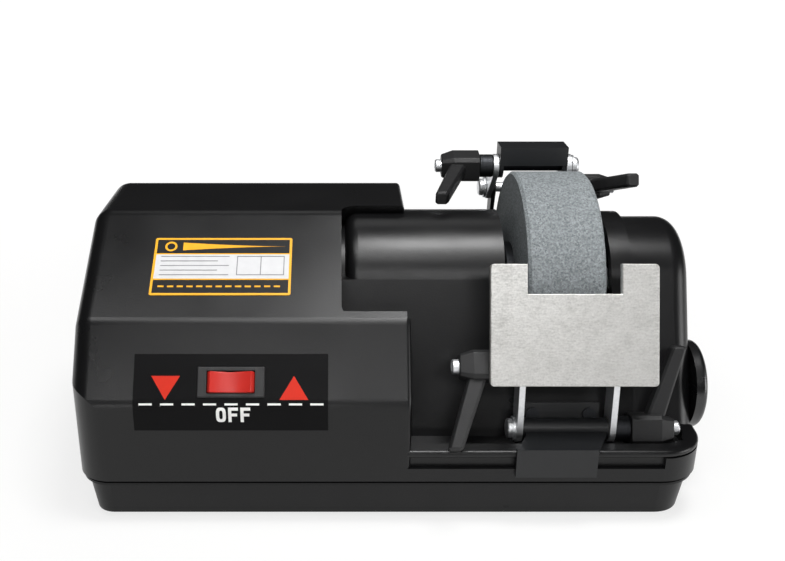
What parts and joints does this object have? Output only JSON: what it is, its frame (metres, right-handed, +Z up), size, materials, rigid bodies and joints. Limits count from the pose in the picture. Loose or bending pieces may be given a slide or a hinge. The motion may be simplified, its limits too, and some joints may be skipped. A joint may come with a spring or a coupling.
{
  "type": "wet grinding sharpener",
  "caption": "Bench wet grinding sharpener: a grey stone wheel in a black case with a motor block, rocker switch, notched front tool rest and rear guide on clamped arms.",
  "frame": {"origin": "on the bench plane, under the middle of the machine's overall outline", "axes": "+X to the right along the wheel shaft, +Y to the back, +Z up"},
  "size_m": [0.3312, 0.1847, 0.166],
  "materials": {
    "case": "fine moulded texture, satin",
    "base": "fine moulded texture",
    "black_gloss": "polished",
    "red_gloss": "polished",
    "handle": "grained",
    "rest_steel": "ground flat",
    "zinc": "zinc plated",
    "steel": "turned",
    "black_sheet": "black powder coat",
    "stone": "grainy",
    "rubber": "matt",
    "bronze": "sintered",
    "nylon": "moulded",
    "copper": "varnished windings",
    "cast": "as cast",
    "tray": "moulded",
    "plate_print": "printed foil",
    "lead": "insulation"
  },
  "bodies": {
    "housing": {"base_pan": "base", "rubber_feet": "rubber", "case_screws": "steel", "upper_housing": "case", "side_cover": "case", "control_label": "black_gloss", "nameplate": "plate_print", "switch_frame": "black_gloss", "cord_gland": "rubber", "motor_lead": "lead", "motor_can": "steel", "motor_bell": "steel", "motor_bearings": "steel", "motor_stator": "copper", "motor_cradle": "cast", "cradle_screws": "steel", "run_capacitor": "nylon", "capacitor_clip": "zinc", "bearing_bracket": "cast", "bracket_screws": "steel", "shaft_bushes": "bronze", "shaft_seal": "rubber", "water_tray": "tray", "front_bracket": "black_sheet", "front_bracket_screws": "zinc", "front_pivot_bolt": "zinc", "rear_bracket": "black_sheet", "rear_bracket_screws": "zinc", "rear_pivot_bolt": "zinc"},
    "wheel": {"wheel_shaft": "steel", "inner_flange": "steel", "grinding_stone": "stone", "outer_flange": "steel", "wheel_nut": "zinc", "drive_gear": "nylon", "gear_key": "steel"},
    "rotor": {"motor_rotor": "steel", "motor_shaft": "steel", "pinion": "steel"},
    "rocker": {"switch_rocker": "red_gloss"},
    "knob": {"side_knob": "black_gloss", "knob_stud": "steel"},
    "front_arm": {"front_straps": "zinc", "front_tilt_bolt": "zinc"},
    "rest": {"rest_plate": "rest_steel"},
    "front_low_handle": {"front_low_lever": "handle", "front_low_lever_insert": "steel"},
    "front_high_handle": {"front_high_lever": "handle", "front_high_lever_insert": "steel"},
    "rear_arm": {"rear_straps": "zinc", "rear_tilt_bolt": "zinc"},
    "guide": {"rear_guide": "black_sheet"},
    "rear_low_handle": {"rear_low_lever": "handle", "rear_low_lever_insert": "steel"},
    "rear_high_handle": {"rear_high_lever": "handle", "rear_high_lever_insert": "steel"}
  },
  "joints": [
    {"name": "wheel_spin", "type": "hinge", "parent": "housing", "child": "wheel", "pos_m": [0.0864, 0.0126, 0.097], "axis": [1, 0, 0], "continuous": true},
    {"name": "motor_spin", "type": "hinge", "parent": "housing", "child": "rotor", "pos_m": [0.0864, 0.0466, 0.06947], "axis": [1, 0, 0], "continuous": true},
    {"name": "switch_rock", "type": "hinge", "parent": "housing", "child": "rocker", "pos_m": [-0.0844, -0.07749, 0.0785], "axis": [0, 0.5735, 0.8192], "range_deg": [-9, 9]},
    {"name": "knob_turn", "type": "hinge", "parent": "housing", "child": "knob", "pos_m": [0.1564, -0.0274, 0.052], "axis": [1, 0, 0], "range_deg": [0, 360]},
    {"name": "front_arm_swing", "type": "hinge", "parent": "housing", "child": "front_arm", "pos_m": [0.0864, -0.0644, 0.045], "axis": [1, 0, 0], "range_deg": [-3, 10]},
    {"name": "rest_tilt", "type": "hinge", "parent": "front_arm", "child": "rest", "pos_m": [0.0864, -0.0619, 0.0795], "axis": [1, 0, 0], "range_deg": [-6, 35]},
    {"name": "front_low_lever_turn", "type": "hinge", "parent": "housing", "child": "front_low_handle", "pos_m": [0.0864, -0.0644, 0.045], "axis": [1, 0, 0], "range_deg": [-10, 65]},
    {"name": "front_high_lever_turn", "type": "hinge", "parent": "front_arm", "child": "front_high_handle", "pos_m": [0.0864, -0.0619, 0.0795], "axis": [1, 0, 0], "range_deg": [-110, 0]},
    {"name": "rear_arm_swing", "type": "hinge", "parent": "housing", "child": "rear_arm", "pos_m": [0.0834, 0.0796, 0.133], "axis": [1, 0, 0], "range_deg": [-35, 2]},
    {"name": "guide_tilt", "type": "hinge", "parent": "rear_arm", "child": "guide", "pos_m": [0.0834, 0.0566, 0.153], "axis": [1, 0, 0], "range_deg": [-25, 8]},
    {"name": "rear_low_lever_turn", "type": "hinge", "parent": "housing", "child": "rear_low_handle", "pos_m": [0.0834, 0.0796, 0.133], "axis": [1, 0, 0], "range_deg": [-60, 15]},
    {"name": "rear_high_lever_turn", "type": "hinge", "parent": "rear_arm", "child": "rear_high_handle", "pos_m": [0.0834, 0.0566, 0.153], "axis": [1, 0, 0], "range_deg": [-75, 0]}
  ],
  "couplings": [
    {"joint": "motor_spin", "follows": "wheel_spin", "ratio": -4}
  ]
}
